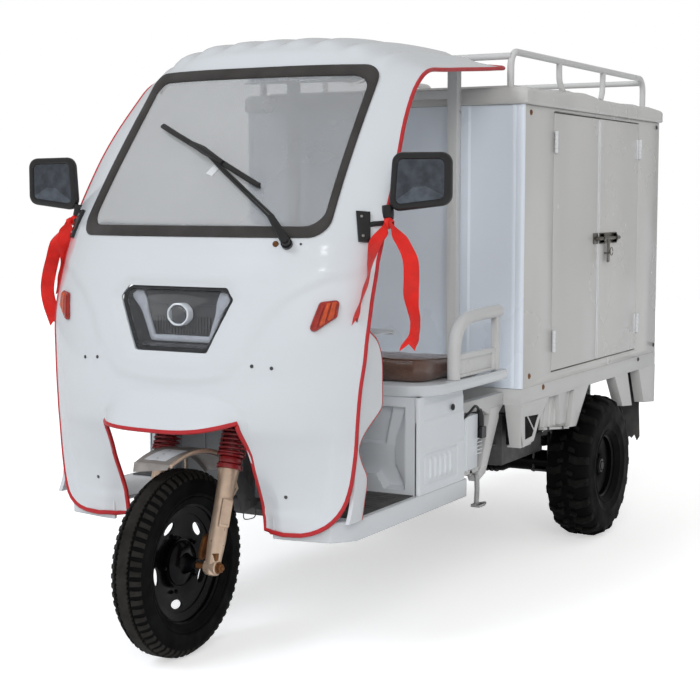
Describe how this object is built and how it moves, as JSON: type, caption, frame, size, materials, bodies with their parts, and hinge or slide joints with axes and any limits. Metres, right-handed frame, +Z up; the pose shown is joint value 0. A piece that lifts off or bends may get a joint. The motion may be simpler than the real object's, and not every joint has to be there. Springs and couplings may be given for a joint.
{
  "type": "electric cargo tricycle",
  "caption": "Electric tricycle with a moulded cab shell, open driver's place, bench seat and a closed cargo box with side and back doors and a roof rack.",
  "frame": {"origin": "on the floor under the middle of the overall length and width", "axes": "+X to the vehicle's left, +Y to its rear (it faces -Y), +Z up"},
  "size_m": [1.444, 2.9386, 1.782],
  "materials": {
    "shell_white": "glossy moulded shell",
    "panel_white": "satin sheet panels",
    "frame_white": "satin painted steel tube",
    "tyre_black": "matt block tread",
    "rim_black": "semi-gloss pressed steel",
    "fork_gold": "champagne metallic",
    "spring_red": "dark red coat",
    "steel_grey": "plated steel",
    "gasket_black": "moulded rubber",
    "glass": "clear laminated glass",
    "plastic_black": "grained black plastic",
    "seat_brown": "brown synthetic leather",
    "ribbon_red": "satin ribbon",
    "lamp_grey": "lens over a dark reflector",
    "signal_red": "coloured lens"
  },
  "bodies": {
    "vehicle": {"cab_shell": "shell_white", "windscreen": "glass", "windscreen_gasket": "gasket_black", "headlamp": "lamp_grey", "turn_signal_left": "signal_red", "turn_signal_right": "signal_red", "wiper": "plastic_black", "leg_shield_left": "shell_white", "leg_shield_right": "shell_white", "inner_panel": "panel_white", "rear_axle": "plastic_black", "leaf_spring_left": "rim_black", "leaf_spring_right": "rim_black", "chassis_frame": "frame_white", "floor_pan": "shell_white", "floor_mat": "gasket_black", "battery_box": "panel_white", "battery_pack": "plastic_black", "seat_base": "shell_white", "armrest_left": "frame_white", "armrest_right": "frame_white", "cab_pillars": "frame_white", "cargo_body": "panel_white", "cargo_lid": "shell_white", "roof_rack": "frame_white", "bed_frame": "frame_white", "mirror_left": "plastic_black", "mirror_right": "plastic_black", "ribbon_left": "ribbon_red", "ribbon_right": "ribbon_red", "mud_flap_left": "gasket_black", "mud_flap_right": "gasket_black", "brake_linkage": "steel_grey", "tail_lamp_left": "signal_red", "tail_lamp_right": "signal_red"},
    "steering": {"fork_leg_left": "fork_gold", "fork_leg_right": "fork_gold", "fork_spring_left": "spring_red", "fork_spring_right": "spring_red", "front_axle": "steel_grey", "fork_yoke": "steel_grey", "handlebar": "plastic_black", "front_fender": "fork_gold"},
    "front_wheel": {"front_tyre": "tyre_black", "front_rim": "rim_black"},
    "rear_wheel_left": {"rear_tyre_left": "tyre_black", "rear_rim_left": "rim_black"},
    "rear_wheel_right": {"rear_tyre_right": "tyre_black", "rear_rim_right": "rim_black"},
    "seat": {"seat_cushion": "seat_brown"},
    "door_left_front": {"door_left_front": "panel_white"},
    "door_left_rear": {"door_left_rear": "panel_white", "latch_left": "steel_grey"},
    "door_right_front": {"door_right_front": "panel_white"},
    "door_right_rear": {"door_right_rear": "panel_white", "latch_right": "steel_grey"},
    "door_back_left": {"door_back_left": "panel_white", "latch_back": "steel_grey"},
    "door_back_right": {"door_back_right": "panel_white"}
  },
  "joints": [
    {"name": "steering", "type": "hinge", "parent": "vehicle", "child": "steering", "pos_m": [0, -1.1759, 0.2554], "axis": [0, 0.319, 0.9478], "range_deg": [-40, 40]},
    {"name": "front_wheel_spin", "type": "hinge", "parent": "steering", "child": "front_wheel", "pos_m": [0, -1.2043, 0.265], "axis": [1, 0, 0], "continuous": true},
    {"name": "rear_wheel_left_spin", "type": "hinge", "parent": "vehicle", "child": "rear_wheel_left", "pos_m": [0.4708, 0.8327, 0.269], "axis": [1, 0, 0], "continuous": true},
    {"name": "rear_wheel_right_spin", "type": "hinge", "parent": "vehicle", "child": "rear_wheel_right", "pos_m": [-0.4708, 0.8327, 0.269], "axis": [1, 0, 0], "continuous": true},
    {"name": "seat_lift", "type": "hinge", "parent": "vehicle", "child": "seat", "pos_m": [0, -0.6093, 0.733], "axis": [1, 0, 0], "range_deg": [0, 70]},
    {"name": "door_left_front_hinge", "type": "hinge", "parent": "vehicle", "child": "door_left_front", "pos_m": [0.538, 0.2753, 0.652], "axis": [0, 0, -1], "range_deg": [0, 110]},
    {"name": "door_left_rear_hinge", "type": "hinge", "parent": "vehicle", "child": "door_left_rear", "pos_m": [0.538, 1.1793, 0.652], "axis": [0, 0, 1], "range_deg": [0, 110]},
    {"name": "door_right_front_hinge", "type": "hinge", "parent": "vehicle", "child": "door_right_front", "pos_m": [-0.538, 0.2753, 0.652], "axis": [0, 0, 1], "range_deg": [0, 110]},
    {"name": "door_right_rear_hinge", "type": "hinge", "parent": "vehicle", "child": "door_right_rear", "pos_m": [-0.538, 1.1793, 0.652], "axis": [0, 0, -1], "range_deg": [0, 110]},
    {"name": "door_back_left_hinge", "type": "hinge", "parent": "vehicle", "child": "door_back_left", "pos_m": [0.4716, 1.4477, 0.652], "axis": [0, 0, -1], "range_deg": [0, 110]},
    {"name": "door_back_right_hinge", "type": "hinge", "parent": "vehicle", "child": "door_back_right", "pos_m": [-0.4716, 1.4477, 0.652], "axis": [0, 0, 1], "range_deg": [0, 110]}
  ]
}
